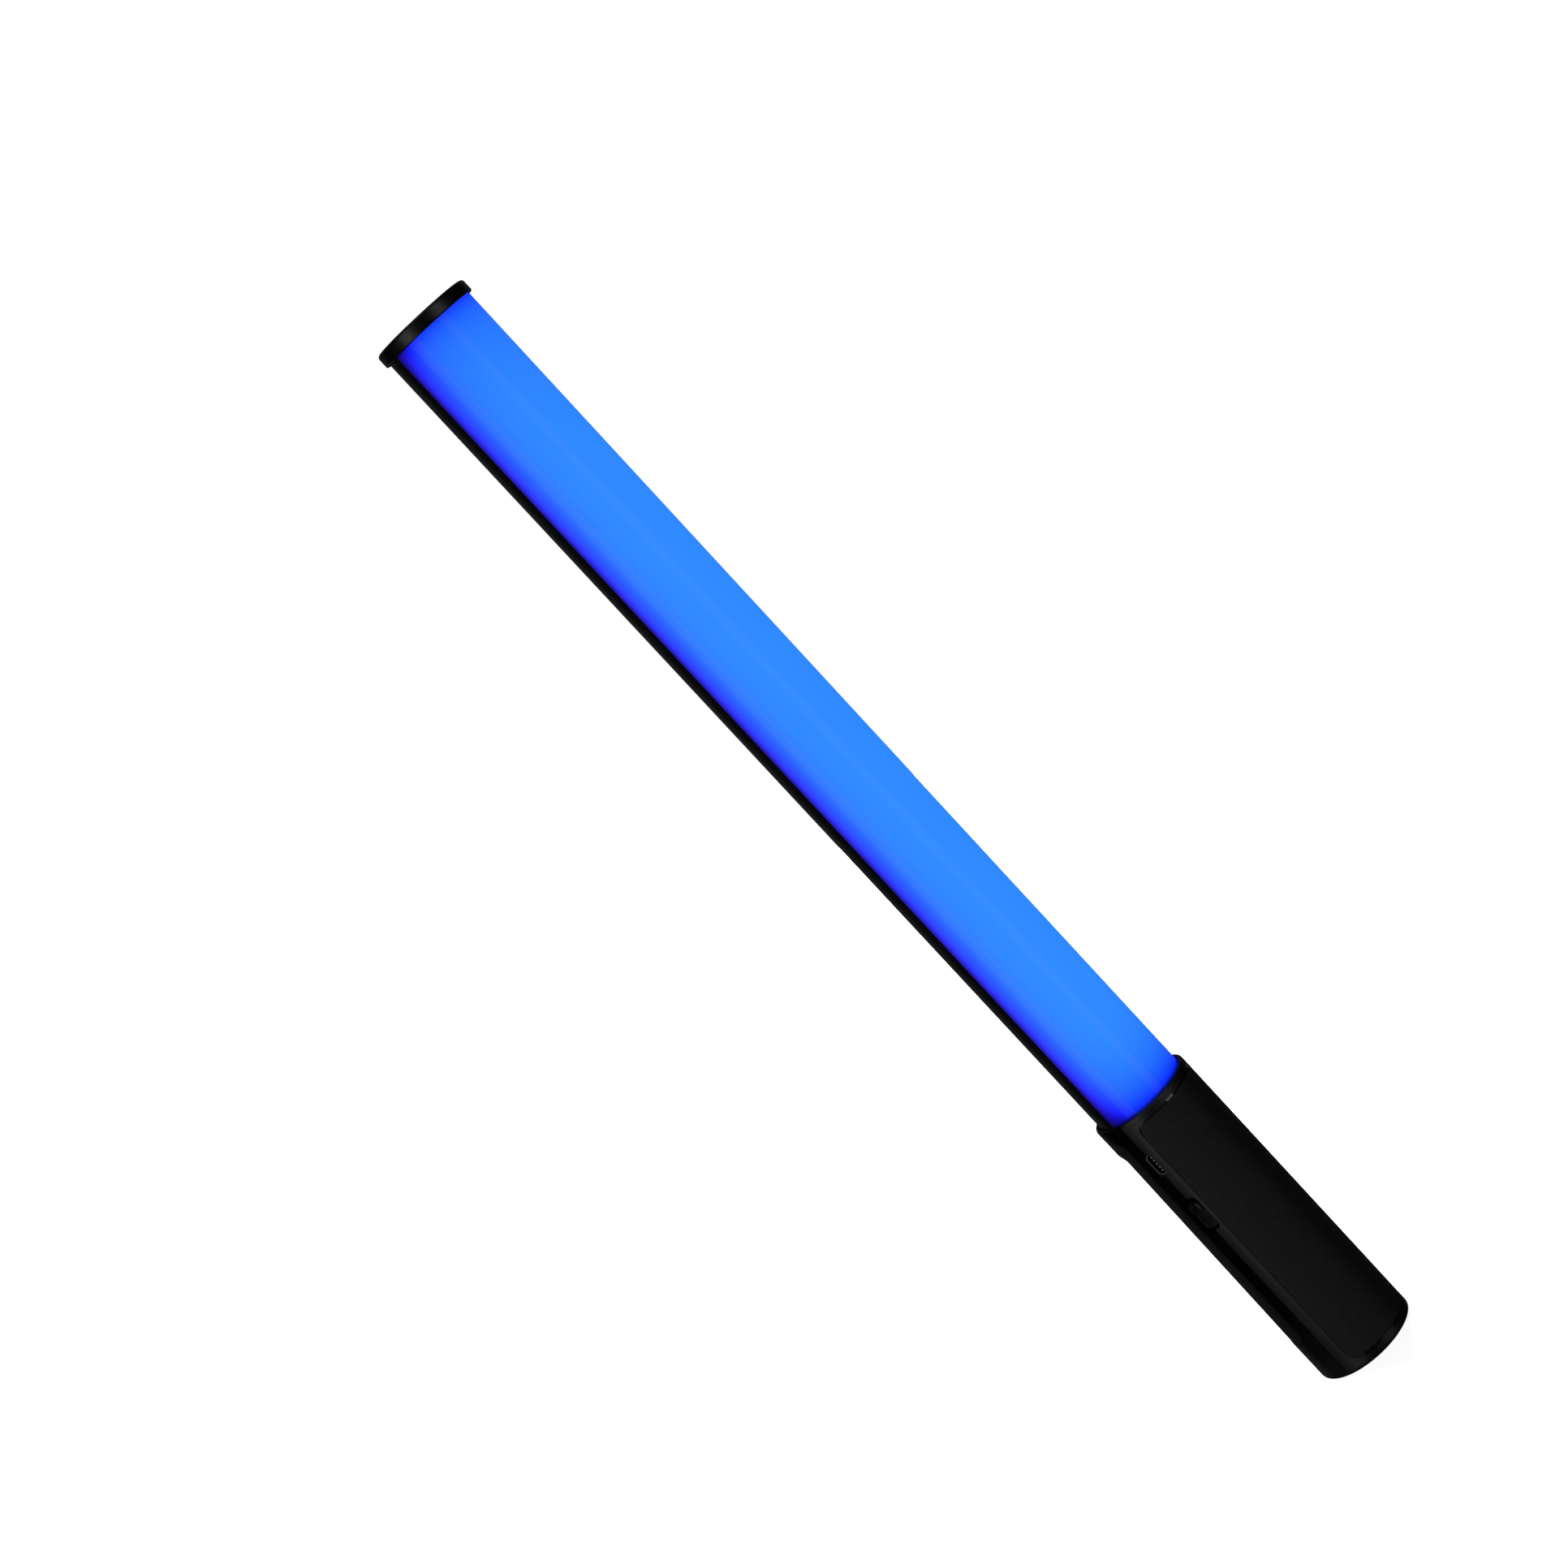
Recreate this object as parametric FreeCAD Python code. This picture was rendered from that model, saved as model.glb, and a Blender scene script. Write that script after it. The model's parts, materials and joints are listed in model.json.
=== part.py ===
import FreeCAD, Part
import math
import os

# Hand-held LED light tube: a lit tube on a handle. Millimetres.
# The origin is at the centre of the handle's base. +Z runs up the tube, the lit side and the
# grip panel face -Y, the controls face +Y, and the charging port and slide switch face -X.
# Angles go round Z from +X, so the front is at 270 degrees and the back is at 90.

V = FreeCAD.Vector
FRONT, BACK, PORT_SIDE = 270.0, 90.0, 180.0

# ---------------------------------------------------------------- driving dimensions
TUBE_R = 18.0                   # outside radius of the lit tube
HANDLE_R = 20.0                 # outside radius of the handle
CAP_R = 19.4                    # outside radius of the tip cap
TOTAL_H = 487.0                 # base to the top of the tip cap
HANDLE_H = 122.8                # base to the crest of the collar
CAP_H = 5.0                     # visible height of the tip cap
FIT_GAP = 0.1                   # slack between pieces that don't move

# Tube
DIFFUSER_HALF = 103.0           # half the angle that the diffuser covers
DIFFUSER_WALL = 1.8
SINK_WALL = 2.0
SEAM_ANGLE = 0.3                # gap between diffuser and heat sink, in degrees
SHELF_Y, SHELF_T = 3.0, 2.0     # front face and thickness of the heat sink's shelf
SHELF_HALF_W = 15.75
TUBE_FOOT_Z = 111.0             # lower end of the tube, inside the collar
CAP_POCKET = 1.4                # how far the tube reaches into the cap
BOSS_AT = 9.9                   # x and y of the heat sink's two screw bosses
FIN_XS = (-6.0, 0.0, 6.0)       # cooling fins behind the shelf

# LEDs
LED_BOARD_HALF_W, LED_BOARD_T = 14.0, 1.6
LED_BOARD_ENDS = (113.0, 478.0)
LED_PITCH = 15.0
LED_COUNT = 24
WHITE_LED = (2.8, 0.8, 3.5)     # x, y and z sizes
RGB_LED = (5.0, 1.5, 5.0)
WHITE_LED_X = 8.5

# Handle shells
FLOOR_T = 3.0
CAVITY_R = 16.6
LEDGE = (108.4, 110.0)          # ledge under the tube's gasket
LEDGE_R = 15.5
SOCKET_R = 18.1                 # the tube's socket in the collar
CREST_R = 18.7                  # crest of the collar, inside its rounded lip
BEVEL_Z = 121.6                 # where the collar's inner bevel starts
LIP_FILLET, BASE_FILLET = 1.2, 1.4
SEAM_GAP, SEAM_GROOVE = 0.04, 0.3

# Front grip panel
GRIP_HALF = 76.0
GRIP_Z = (4.4, 118.9)
GRIP_R = 19.0                   # floor of its recess
GRIP_GAP, GRIP_TOP_GAP = 0.08, 0.95
GRIP_CORNER = 4.0
GRIP_EDGE = 0.25
CLIP_AT, CLIP_SPAN = 29.0, 9.4  # the two grey clip tabs, from the front centre
PRY_SLOTS = ((7.0, 19.0), (39.0, 60.0))
PRY_SLOT_H = 0.7

# Back control panel: outer line as (radius, height), from the bottom up
PANEL_HALF = 75.3
PANEL_Z = (18.0, 117.4)
PANEL_LINE = ((19.85, 18.0), (19.1, 107.5), (19.95, 111.0), (19.95, 117.4))
PANEL_IN_R, PANEL_THIN_R = 17.9, 19.05
PANEL_STEP_Z = (108.4, 109.6)
PANEL_CORNER = 4.5
PANEL_GAP = 0.3
OPENING_X, OPENING_Z = 9.9, (50.0, 104.0)

# Controls
BUTTON_R, BUTTON_CLEAR, BUTTON_PROUD = 3.4, 0.3, 0.6
BUTTON_FLANGE_R = 4.0
SIGN_HALF, SIGN_LINE, SIGN_DEPTH = 1.6, 0.5, 0.25
BUTTON_FLANGE = (16.7, 17.6)    # radii of the flange's two curved faces
BUTTON_X = 4.8
BUTTONS = {"mode_button": (1, 76.0), "colour_button": (-1, 76.0),
           "minus_button": (1, 64.5), "plus_button": (-1, 64.5)}
STEM_R, STEM_END_Y = 1.3, 14.35
CONTROL_BOARD_Y, BOARD_T = 10.6, 1.2
CONTROL_BOARD_X, CONTROL_BOARD_Z = 9.4, (54.0, 103.0)
TACT = (4.2, 1.4, 4.2)
TACT_PLUNGER_R, TACT_PLUNGER_H = 1.0, 0.4
DISPLAY_HALF_W, DISPLAY_T, DISPLAY_Z = 8.6, 2.0, (84.5, 102.0)
WINDOW_HALF_W, WINDOW_Z = 7.6, (87.0, 100.5)
WINDOW_CORNER = 1.5

# Charging port (USB-C) on the seam
PORT_Z = 103.6
PORT_SHELL = (3.26, 8.94)       # y and z sizes outside
PORT_WALL = 0.3
PORT_X = (-19.1, -11.8)
PORT_HOLE = (3.8, 9.5)
TONGUE = (0.7, 6.7)
TONGUE_X = (-18.3, -12.1)
CONTACTS, CONTACT_PITCH = 12, 0.5

# Slide switch on the seam
SWITCH_Z = 79.9
SLOT_HALF = (3.5, 7.4)          # half sizes in y and z
SLOT_CORNER = 1.8
SWITCH_TRAVEL = 1.8             # up from the rest position, which is the lower stop
KNOB_Z = SWITCH_Z - SWITCH_TRAVEL / 2
KNOB_HALF = (2.6, 5.8)
KNOB_CORNER = 1.5
KNOB_R = 19.0                   # the knob's lower face
PAD_R = 20.1                    # crest of its thumb pad
PAD_HALF, PAD_CORNER, PAD_CREST = (2.5, 2.1), 1.2, 0.7
PAD_Z = KNOB_Z + 3.55
ARROW_HALF, ARROW_ZS, ARROW_DEPTH = 1.35, (-1.1, 1.4), 0.9
MARK_R, MARK_Z = (1.05, 1.45), KNOB_Z - 2.3
PLATE_R = (15.2, 16.1)          # sliding plate behind the wall
PLATE_HALF = (5.0, 9.2)
TEETH, TOOTH_PITCH = 4, 1.42
TOOTH_R, TOOTH_LEN, TOOTH_Y = 0.45, 0.64, 2.1
SWITCH_BODY_X, SWITCH_BODY_H = (-13.4, -10.4), 9.8

# Boards, cell and insert
MAIN_BOARD_Y = 1.63
CELL_R, CELL_Z, CELL_Y = 10.5, (12.5, 82.5), -5.6
LOW_TAB_END_Y = 5.1
LEAD_R, LEAD_Z = 0.6, 90.0       # the cell's leads, and where they meet the main board
INSERT_R, INSERT_H = 6.0, 11.0
INSERT_FLANGE_R, INSERT_FLANGE_H = 8.5, 1.8
THREAD_R, THREAD_DEPTH = 2.6, 8.0
CASE_SCREW_X, CASE_SCREW_ZS = 13.6, (24.0, 62.0)
CASE_BOSS_R = 2.5
CASE_SCREW_HEAD_Y = 7.0
CAP_SCREW_HEAD = (2.7, 1.6)     # radius and height


# ---------------------------------------------------------------- helpers
def save(name, *solids):
    """One STEP file for a node, from one solid or several separate ones."""
    shape = solids[0] if len(solids) == 1 else Part.makeCompound(solids)
    shape.exportStep("parts/" + name + ".step")


def block(xs, ys, zs):
    low = [min(pair) for pair in (xs, ys, zs)]
    size = [abs(pair[1] - pair[0]) for pair in (xs, ys, zs)]
    return Part.makeBox(*size, V(*low))


def ring(profile, middle=0.0, half=180.0):
    """Turns (radius, height) corners about Z, over half degrees to each side of middle."""
    points = [V(r, 0, z) for r, z in profile]
    face = Part.Face(Part.makePolygon(points + points[:1]))
    solid = face.revolve(V(), V(0, 0, 1), 2 * half)
    solid.rotate(V(), V(0, 0, 1), middle - half)
    return solid


def band(radii, zs, middle=0.0, half=180.0):
    """A stretch of pipe wall, or of a disc if its inner radius is 0."""
    (r0, r1), (z0, z1) = radii, zs
    return ring([(r0, z0), (r1, z0), (r1, z1), (r0, z1)], middle, half)


def round_corners(panel, radius):
    """Rounds the corners of a curved panel: its level edges that point at the axis."""
    corners = []
    for edge in panel.Edges:
        a, b = (vertex.Point for vertex in (edge.Vertexes[0], edge.Vertexes[-1]))
        level = abs(a.z - b.z) < 1e-6
        flat_cross = abs(a.x * b.y - a.y * b.x) < 1e-6 * a.Length * b.Length
        if level and flat_cross and (a - b).Length > 1e-3:
            corners.append(edge)
    return panel.makeFillet(radius, corners)


def outer_rim(panel, radius_at, size):
    """Softens the edges round a panel's outer face."""
    def outside(edge):
        points = edge.discretize(5)
        return all(abs(math.hypot(p.x, p.y) - radius_at) < 1e-3 for p in points)

    return panel.makeFillet(size, [edge for edge in panel.Edges if outside(edge)])


def rounded_bar(xs, half_y, half_z, z, corner):
    """A bar along X whose section is a rounded rectangle centred on height z."""
    bar = block(xs, (-half_y, half_y), (z - half_z, z + half_z))
    along = [e for e in bar.Edges if abs(e.tangentAt(e.FirstParameter).x) > 0.9]
    return bar.makeFillet(corner, along)


def obround(xs, width, height, z):
    """A bar along X with fully round ends, as a USB-C opening has."""
    return rounded_bar(xs, width / 2, height / 2, z, width / 2 - 0.01)


def rod(radius, start, way, length):
    return Part.makeCylinder(radius, length, V(*start), V(*way))


# ---------------------------------------------------------------- the lit tube
TUBE_TOP_Z = TOTAL_H - CAP_H + CAP_POCKET
SINK_HALF = 180.0 - DIFFUSER_HALF - SEAM_ANGLE
TUBE_ENDS = (TUBE_FOOT_Z, TUBE_TOP_Z)


def heat_sink():
    back = band((TUBE_R - SINK_WALL, TUBE_R), TUBE_ENDS, BACK, SINK_HALF)
    shelf = block((-SHELF_HALF_W, SHELF_HALF_W), (SHELF_Y, SHELF_Y + SHELF_T), TUBE_ENDS)
    fin_half, fin_reach = 0.6, TUBE_R - SINK_WALL / 2
    fins = []
    for x in FIN_XS:
        top_y = math.sqrt(fin_reach ** 2 - x ** 2) - 4.0
        fins.append(block((x - fin_half, x + fin_half), (SHELF_Y + 1.0, top_y), TUBE_ENDS))
    bosses, holes = [], []
    height = TUBE_TOP_Z - TUBE_FOOT_Z
    for side in (-1, 1):
        foot = (side * BOSS_AT, BOSS_AT, TUBE_FOOT_Z)
        bosses.append(rod(2.4, foot, (0, 0, 1), height))
        holes.append(rod(1.25, foot, (0, 0, 1), height))
    return back.fuse([shelf] + fins + bosses).cut(holes).removeSplitter()


def diffuser():
    inner = TUBE_R - DIFFUSER_WALL
    shell = band((inner, TUBE_R), TUBE_ENDS, FRONT, DIFFUSER_HALF)
    hooks = [band((inner - 1.0, inner + 0.2), TUBE_ENDS, middle, 1.75) for middle in (7.0, 173.0)]
    return shell.fuse(hooks).removeSplitter()


def led_row(x, size, z_shift):
    """One straight row of equal chips standing on the front of the LED board."""
    face_y = SHELF_Y - LED_BOARD_T
    first = sum(LED_BOARD_ENDS) / 2 - LED_PITCH * (LED_COUNT - 1) / 2 + z_shift
    chips = []
    for step in range(LED_COUNT):
        z = first + step * LED_PITCH
        chips.append(block((x - size[0] / 2, x + size[0] / 2), (face_y - size[1], face_y),
                           (z - size[2] / 2, z + size[2] / 2)))
    return chips


def tip_cap():
    under = TOTAL_H - CAP_H
    cap = band((0, CAP_R), (under, TOTAL_H))
    rims = [e for e in cap.Edges if abs(e.Length - 2 * math.pi * CAP_R) < 1e-3]
    top = [e for e in rims if e.Vertexes[0].Z > TOTAL_H - 1]
    low = [e for e in rims if e.Vertexes[0].Z < under + 1]
    cap = cap.makeFillet(1.3, top)
    low = [e for e in cap.Edges if e.Vertexes[0].Z < under + 0.1 and e.Length > 100]
    cap = cap.makeFillet(0.5, low)
    cap = cap.cut(band((0, TUBE_R + FIT_GAP), (under - 1, TUBE_TOP_Z + FIT_GAP)))
    spigot_z = (under - 6.0, TUBE_TOP_Z + 0.5)
    spigot = band((14.3, 15.9), spigot_z, FRONT, 55.0)
    cap = cap.fuse(spigot)
    cutters = []
    for side in (-1, 1):
        foot = (side * BOSS_AT, BOSS_AT, under - 1)
        seat = (side * BOSS_AT, BOSS_AT, TOTAL_H - CAP_SCREW_HEAD[1] - 0.3)
        cutters.append(rod(1.6, foot, (0, 0, 1), CAP_H + 2))
        cutters.append(rod(CAP_SCREW_HEAD[0] + 0.3, seat, (0, 0, 1), 4))
    return cap.cut(cutters).removeSplitter()


def cross_slot(centre, way, reach, depth):
    """Cutters for a cross recess in a screw's head; way is the axis that the head faces."""
    half = 0.3
    x, y, z = centre
    if way == "z":
        zs = (z - depth, z + 1)
        return [block((x - reach, x + reach), (y - half, y + half), zs),
                block((x - half, x + half), (y - reach, y + reach), zs)]
    ys = (y - depth, y + 1)
    return [block((x - reach, x + reach), ys, (z - half, z + half)),
            block((x - half, x + half), ys, (z - reach, z + reach))]


def cap_screw(side):
    head_r, head_h = CAP_SCREW_HEAD
    seat_z = TOTAL_H - head_h - 0.3
    head = rod(head_r, (side * BOSS_AT, BOSS_AT, seat_z), (0, 0, 1), head_h)
    head = head.makeFillet(0.5, [e for e in head.Edges if e.BoundBox.ZMin > seat_z + 1])
    shank = rod(1.2, (side * BOSS_AT, BOSS_AT, seat_z - 11.0), (0, 0, 1), 11.5)
    slots = cross_slot((side * BOSS_AT, BOSS_AT, seat_z + head_h), "z", 1.5, 0.8)
    return head.fuse(shank).cut(slots)


# ---------------------------------------------------------------- handle shells
def grip_blank(radii, grow, top_grow):
    zs = (GRIP_Z[0] - grow, GRIP_Z[1] + top_grow)
    half = GRIP_HALF + math.degrees(grow / HANDLE_R)
    return round_corners(band(radii, zs, FRONT, half), GRIP_CORNER + grow)


def panel_blank(line, inner_r, thin_r, grow):
    """The control panel's shape, or with grow its recess: a scooped stretch of wall."""
    low, high = PANEL_Z[0] - grow, PANEL_Z[1] + grow
    outer = [(line[0][0], low)] + list(line[1:-1]) + [(line[-1][0], high)]
    inner = [(thin_r, high), (thin_r, PANEL_STEP_Z[1]), (inner_r, PANEL_STEP_Z[0]), (inner_r, low)]
    half = PANEL_HALF + math.degrees(grow / HANDLE_R)
    return round_corners(ring(outer + inner, BACK, half), PANEL_CORNER + grow)


def handle_blank():
    """Both shells as one: a closed cup with the collar at its top."""
    outside = band((0, HANDLE_R), (0, HANDLE_H))
    for z, size in ((0, BASE_FILLET), (HANDLE_H, LIP_FILLET)):
        edge = [e for e in outside.Edges if e.Length > 100 and abs(e.BoundBox.Center.z - z) < 0.01]
        outside = outside.makeFillet(size, edge)
    inside = ring([(0, FLOOR_T), (CAVITY_R, FLOOR_T), (CAVITY_R, LEDGE[0]), (LEDGE_R, LEDGE[0]),
                   (LEDGE_R, LEDGE[1]), (SOCKET_R, LEDGE[1]), (SOCKET_R, BEVEL_Z),
                   (CREST_R, HANDLE_H), (CREST_R, HANDLE_H + 1), (0, HANDLE_H + 1)])
    return outside.cut(inside)


def screw_posts(blank_r, end_y):
    """Posts for the case screws, from the parting plane out to the wall at one side."""
    posts = []
    for side in (-1, 1):
        for z in CASE_SCREW_ZS:
            way = (0, 1, 0) if end_y > 0 else (0, -1, 0)
            posts.append(rod(CASE_BOSS_R, (side * CASE_SCREW_X, 0, z), way, abs(end_y)))
    limit = band((0, blank_r), (0, HANDLE_H))
    return [post.common(limit) for post in posts]


def common_cutters():
    """What is cut from both shells: seam groove, insert hole, port and switch openings."""
    groove = []
    for side in (-1, 1):
        bar = block((-SEAM_GROOVE, SEAM_GROOVE), (-SEAM_GROOVE, SEAM_GROOVE), (-1, HANDLE_H + 1))
        bar.rotate(V(), V(0, 0, 1), 45)
        bar.translate(V(side * HANDLE_R, 0, 0))
        groove.append(bar)
    hole = band((0, INSERT_R + FIT_GAP / 2), (-1, FLOOR_T + 1))
    port = obround((-25, -14), PORT_HOLE[0], PORT_HOLE[1], PORT_Z)
    slot = rounded_bar((-25, -14), SLOT_HALF[0], SLOT_HALF[1], SWITCH_Z, SLOT_CORNER)
    return groove + [hole, port, slot]


def half_space(sign):
    return block((-30, 30), (sign * SEAM_GAP / 2, sign * 30), (-1, HANDLE_H + 1))


def front_shell(blank):
    shell = blank.common(half_space(-1)).fuse(screw_posts(CAVITY_R + 1, -14.0))
    shell = shell.common(half_space(-1))
    cutters = common_cutters() + [grip_blank((GRIP_R, HANDLE_R + 2), GRIP_GAP, GRIP_TOP_GAP)]
    for low, high in PRY_SLOTS:
        for side in (-1, 1):
            middle = FRONT + side * (low + high) / 2
            zs = (GRIP_Z[0] - PRY_SLOT_H - GRIP_GAP, GRIP_Z[0] + 1)
            cutters.append(band((GRIP_R, HANDLE_R + 2), zs, middle, (high - low) / 2))
    for side in (-1, 1):
        for z in CASE_SCREW_ZS:
            cutters.append(rod(1.02, (side * CASE_SCREW_X, 1, z), (0, -1, 0), 8))
    return shell.cut(cutters).removeSplitter()


def back_shell(blank):
    shell = blank.common(half_space(1)).fuse(screw_posts(CAVITY_R + 0.8, 14.0))
    shell = shell.common(half_space(1))
    recess_line = [(HANDLE_R + 2, z) for r, z in PANEL_LINE]
    recess = panel_blank(recess_line, PANEL_IN_R - 0.05, PANEL_THIN_R - 0.05, PANEL_GAP)
    opening = block((-OPENING_X, OPENING_X), (9, 19), OPENING_Z)
    cutters = common_cutters() + [recess, opening]
    for side in (-1, 1):
        for z in CASE_SCREW_ZS:
            at_x = side * CASE_SCREW_X
            cutters.append(rod(1.15, (at_x, -1, z), (0, 1, 0), 20))
            cutters.append(rod(2.1, (at_x, CASE_SCREW_HEAD_Y - 1.5, z), (0, 1, 0), 10))
    shell = shell.cut(cutters)
    rails = []
    for side in (-1, 1):
        xs = (side * (CONTROL_BOARD_X - 0.5), side * (OPENING_X + 1.0))
        rail_z = (CONTROL_BOARD_Z[0] + 1, CONTROL_BOARD_Z[1] - 1)
        rails.append(block(xs, (CONTROL_BOARD_Y + BOARD_T, 13.4), rail_z))
    return shell.fuse(rails).removeSplitter()


def grip_panel():
    panel = grip_blank((GRIP_R + 0.03, HANDLE_R), 0.0, 0.0)
    return outer_rim(panel, HANDLE_R, GRIP_EDGE)


def panel_clips():
    zs = (GRIP_Z[1] + 0.02, GRIP_Z[1] + GRIP_TOP_GAP - 0.03)
    return [band((GRIP_R + 0.03, HANDLE_R - 0.15), zs, FRONT + side * CLIP_AT, CLIP_SPAN / 2)
            for side in (-1, 1)]


# ---------------------------------------------------------------- controls on the back
def button_place(name):
    side, z = BUTTONS[name]
    return side * BUTTON_X, z


def window_bar(grow):
    xs, zs = (-WINDOW_HALF_W - grow, WINDOW_HALF_W + grow), (WINDOW_Z[0] - grow, WINDOW_Z[1] + grow)
    bar = block(xs, (12, 24), zs)
    along = [e for e in bar.Edges if abs(e.tangentAt(e.FirstParameter).y) > 0.9]
    return bar.makeFillet(WINDOW_CORNER + grow, along)


def control_panel():
    panel = panel_blank(PANEL_LINE, PANEL_IN_R, PANEL_THIN_R, 0.0)
    cutters = [window_bar(FIT_GAP)]
    for name in BUTTONS:
        x, z = button_place(name)
        cutters.append(rod(BUTTON_R + BUTTON_CLEAR, (x, 10, z), (0, 1, 0), 14))
    return panel.cut(cutters)


def display_window():
    line = [(r - 0.12, z) for r, z in PANEL_LINE]
    return window_bar(0.0).common(panel_blank(line, PANEL_IN_R + 0.1, PANEL_THIN_R + 0.1, 0.0))


def panel_skin(floor_r, proud):
    """The wall behind the controls, out to a height above the panel's face."""
    line = [(r + proud, h) for r, h in PANEL_LINE]
    return ring([(floor_r, PANEL_Z[0])] + line + [(floor_r, PANEL_Z[1])], BACK, PANEL_HALF)


def sign_bar(x, z, half_x, half_z):
    """A bar along Y, right through a button's face."""
    return block((x - half_x, x + half_x), (10, 24), (z - half_z, z + half_z))


def button_sign(name):
    """What is sunk into a button's face: a minus, a plus, a square or three levels."""
    x, z = button_place(name)
    level = sign_bar(x, z, SIGN_HALF, SIGN_LINE / 2)
    if name == "minus_button":
        return level
    if name == "plus_button":
        return level.fuse(sign_bar(x, z, SIGN_LINE / 2, SIGN_HALF))
    if name == "mode_button":
        inner = SIGN_HALF - SIGN_LINE
        return sign_bar(x, z, SIGN_HALF, SIGN_HALF).cut(sign_bar(x, z, inner, inner))
    step = V(0, 0, 2.2 * SIGN_LINE)
    return level.fuse([level.translated(step), level.translated(-step)])


def button(name):
    x, z = button_place(name)
    cap = rod(BUTTON_R, (x, 10, z), (0, 1, 0), 14)
    cap = cap.common(panel_skin(BUTTON_FLANGE[0] + 0.3, BUTTON_PROUD))
    cap = cap.cut(button_sign(name).cut(panel_skin(5, BUTTON_PROUD - SIGN_DEPTH)))
    flange = rod(BUTTON_FLANGE_R, (x, 10, z), (0, 1, 0), 14).common(
        band(BUTTON_FLANGE, (PANEL_Z[0], PANEL_Z[1]), BACK, PANEL_HALF))
    stem = rod(STEM_R, (x, STEM_END_Y, z), (0, 1, 0), 17.0 - STEM_END_Y)
    return cap.fuse([flange, stem]).removeSplitter()


def control_board():
    ys = (CONTROL_BOARD_Y, CONTROL_BOARD_Y + BOARD_T)
    return block((-CONTROL_BOARD_X, CONTROL_BOARD_X), ys, CONTROL_BOARD_Z)


def tact_switch(name):
    x, z = button_place(name)
    face_y = CONTROL_BOARD_Y + BOARD_T
    body = block((x - TACT[0] / 2, x + TACT[0] / 2), (face_y, face_y + TACT[1]),
                 (z - TACT[2] / 2, z + TACT[2] / 2))
    return body.fuse(rod(TACT_PLUNGER_R, (x, face_y + TACT[1] - 0.2, z), (0, 1, 0),
                         TACT_PLUNGER_H + 0.2))


def display_module():
    face_y = CONTROL_BOARD_Y + BOARD_T
    return block((-DISPLAY_HALF_W, DISPLAY_HALF_W), (face_y, face_y + DISPLAY_T), DISPLAY_Z)


def control_ribbon():
    z = 95.0
    return block((-4, 4), (MAIN_BOARD_Y + BOARD_T, CONTROL_BOARD_Y), (z - 0.1, z + 0.1))


# ---------------------------------------------------------------- port and slide switch
def usb_shell():
    x0, x1 = PORT_X
    width, height = PORT_SHELL
    outside = obround(PORT_X, width, height, PORT_Z)
    inside = obround((x0 - 1, x1 - PORT_WALL), width - 2 * PORT_WALL, height - 2 * PORT_WALL, PORT_Z)
    return outside.cut(inside)


def usb_tongue():
    half_y, half_z = TONGUE[0] / 2, TONGUE[1] / 2
    return block(TONGUE_X, (-half_y, half_y), (PORT_Z - half_z, PORT_Z + half_z))


def usb_contacts():
    strips = []
    half_y = TONGUE[0] / 2
    for step in range(CONTACTS):
        z = PORT_Z + (step - (CONTACTS - 1) / 2) * CONTACT_PITCH
        for side in (-1, 1):
            ys = (side * half_y, side * (half_y + 0.08))
            strips.append(block((TONGUE_X[0] + 0.1, TONGUE_X[1]), ys, (z - 0.13, z + 0.13)))
    return strips


def switch_body():
    half_h = SWITCH_BODY_H / 2
    body = block(SWITCH_BODY_X, (-1.9, MAIN_BOARD_Y), (SWITCH_Z - half_h, SWITCH_Z + half_h))
    play = SWITCH_TRAVEL / 2 + 0.75 + 0.35
    slot = block((SWITCH_BODY_X[0] - 1, SWITCH_BODY_X[0] + 1.6), (-0.85, 0.85),
                 (SWITCH_Z - play, SWITCH_Z + play))
    return body.cut(slot)


def switch_lever():
    return block((-14.95, SWITCH_BODY_X[0] + 1.25), (-0.5, 0.5), (KNOB_Z - 0.75, KNOB_Z + 0.75))


def thumb_pad():
    """The raised upper half of the knob, with a rounded crest and an arrow sunk into it."""
    pad = rounded_bar((-PAD_R, -KNOB_R + 0.8), PAD_HALF[0], PAD_HALF[1], PAD_Z, PAD_CORNER)
    crest = [e for e in pad.Edges if all(abs(p.x + PAD_R) < 1e-3 for p in e.discretize(3))]
    pad = pad.makeFillet(PAD_CREST, crest)
    low, high = (PAD_Z + step for step in ARROW_ZS)
    start = -PAD_R - 1
    corners = [V(start, -ARROW_HALF, low), V(start, ARROW_HALF, low), V(start, 0, high)]
    face = Part.Face(Part.makePolygon(corners + corners[:1]))
    return pad.cut(face.extrude(V(1 + ARROW_DEPTH, 0, 0)))


def power_mark():
    """The cutter of a ring that is open at its top, round the foot of a short bar."""
    start = (-KNOB_R - 1, 0, MARK_Z)
    mark = rod(MARK_R[1], start, (1, 0, 0), 1.25).cut(rod(MARK_R[0], start, (1, 0, 0), 1.25))
    xs = (start[0], start[0] + 1.25)
    mark = mark.cut(block(xs, (-0.6, 0.6), (MARK_Z, MARK_Z + 2)))
    return mark.fuse(block(xs, (-0.2, 0.2), (MARK_Z + 0.1, MARK_Z + MARK_R[1])))


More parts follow.
